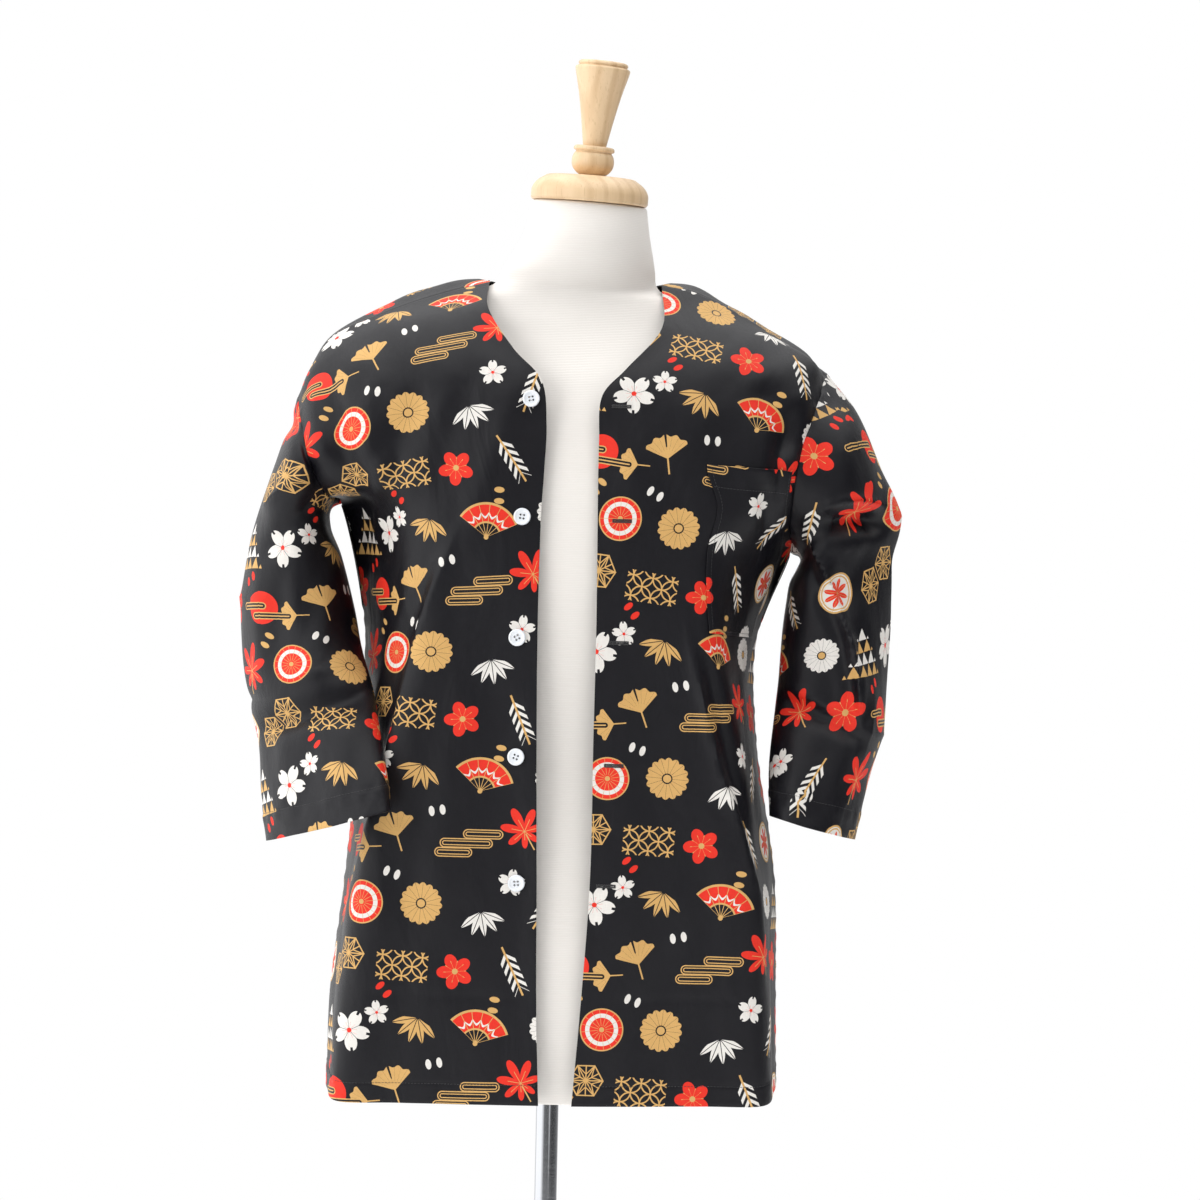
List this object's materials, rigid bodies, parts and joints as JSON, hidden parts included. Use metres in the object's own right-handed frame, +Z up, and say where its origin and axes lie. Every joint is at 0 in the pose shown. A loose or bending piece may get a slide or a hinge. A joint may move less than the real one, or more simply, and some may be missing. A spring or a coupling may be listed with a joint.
{
  "type": "japanese chef shirt on a dress form",
  "caption": "Collarless printed chef shirt with dropped three-quarter sleeves, a buttoned front worn open and a patch pocket, on a limbless dress form with a turned wood finial and pole stand.",
  "frame": {"origin": "on the floor, at the middle of the stand's base, on the axis of the pole", "axes": "+Z up along the pole, -Y is the garment's front, +X is the wearer's left"},
  "size_m": [0.587, 0.32, 1.59],
  "materials": {
    "printed_cotton": "fine plain-weave cotton, near black, printed in gold, ivory and red, with a slight sheen",
    "button": "pale pearly bluish white, polished",
    "form_cover": "ivory jersey cover, matt, with a fine rib",
    "pale_wood": "pale birch, turned and sanded, satin lacquer",
    "chrome": "polished chrome plate"
  },
  "bodies": {
    "root": {"front_right": "printed_cotton", "front_left": "printed_cotton", "back": "printed_cotton", "sleeve_right": "printed_cotton", "sleeve_left": "printed_cotton", "pocket": "printed_cotton", "button_1": "button", "button_2": "button", "button_3": "button", "button_4": "button", "button_5": "button", "torso": "form_cover", "neck_cap": "pale_wood", "finial_bulb": "pale_wood", "finial_handle": "pale_wood", "pole": "chrome", "base": "chrome"}
  },
  "joints": []
}
